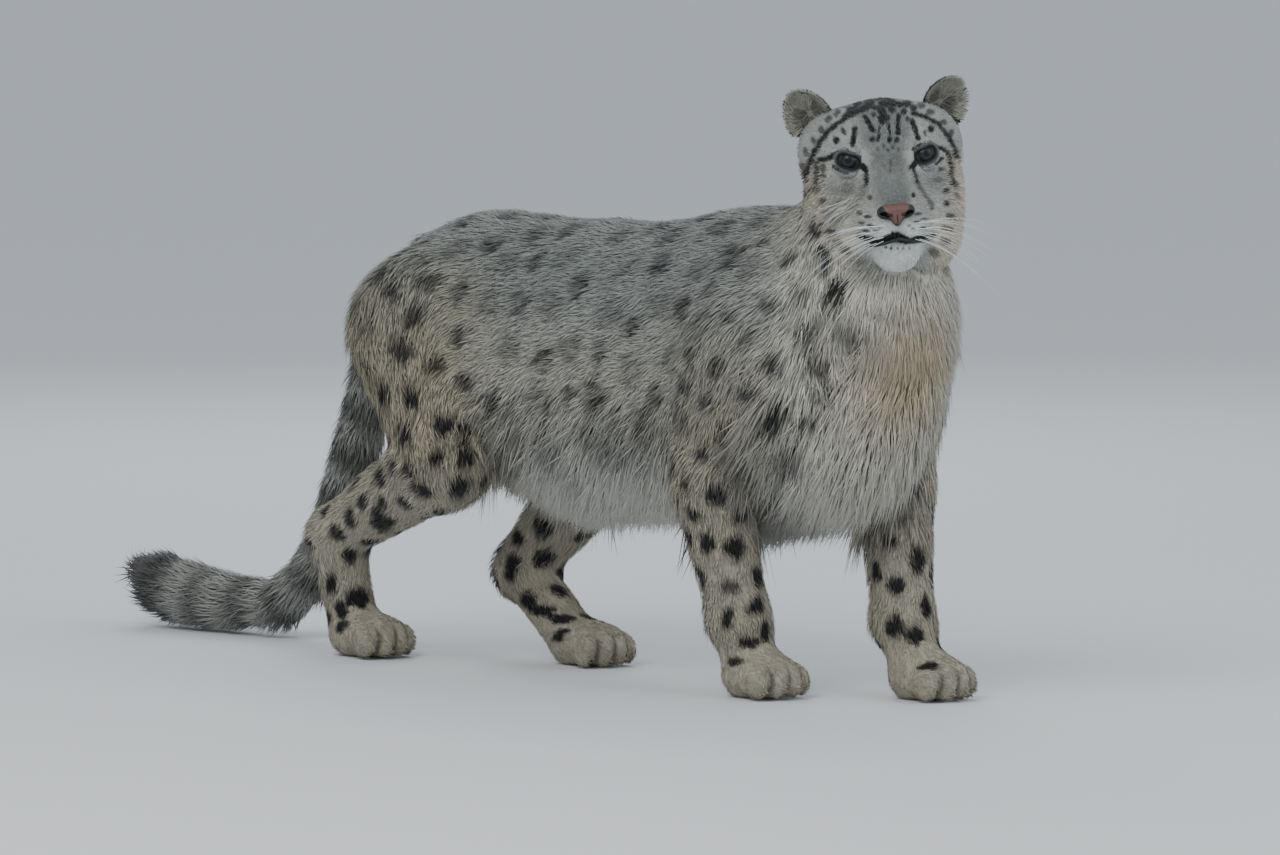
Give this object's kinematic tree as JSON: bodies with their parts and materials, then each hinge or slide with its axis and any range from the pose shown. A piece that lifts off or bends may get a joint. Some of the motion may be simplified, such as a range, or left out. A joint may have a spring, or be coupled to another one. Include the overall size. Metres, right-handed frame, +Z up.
{
  "type": "snow leopard figure",
  "caption": "Life-size snow leopard standing with its head turned to its right and its long tail laid on the floor behind, for display.",
  "frame": {"origin": "middle of the footprint of the bounding box, on the floor", "axes": "+X from the rump to the chest, +Y to the animal's left, +Z up"},
  "size_m": [1.489, 0.3684, 0.7677],
  "materials": {
    "fur_grey": "long smoky grey winter fur with dark rosettes and spots",
    "fur_pale": "cream to beige long fur of the throat, chest and paws",
    "fur_banded": "bushy grey fur with dark bands",
    "eye": "wet grey-green eye with a dark round pupil",
    "nose_skin": "moist pink skin with dark wings"
  },
  "bodies": {
    "root": {"head": "fur_grey", "nose": "nose_skin", "eye_right": "eye", "eye_left": "eye", "ear_right": "fur_grey", "ear_left": "fur_grey", "neck": "fur_pale", "torso": "fur_grey", "fore_right_leg": "fur_grey", "fore_right_paw": "fur_pale", "fore_left_leg": "fur_grey", "fore_left_paw": "fur_pale", "hind_right_leg": "fur_grey", "hind_right_paw": "fur_pale", "hind_left_leg": "fur_grey", "hind_left_paw": "fur_pale", "tail_base": "fur_banded", "tail_middle": "fur_banded", "tail_tip": "fur_banded"}
  },
  "joints": []
}
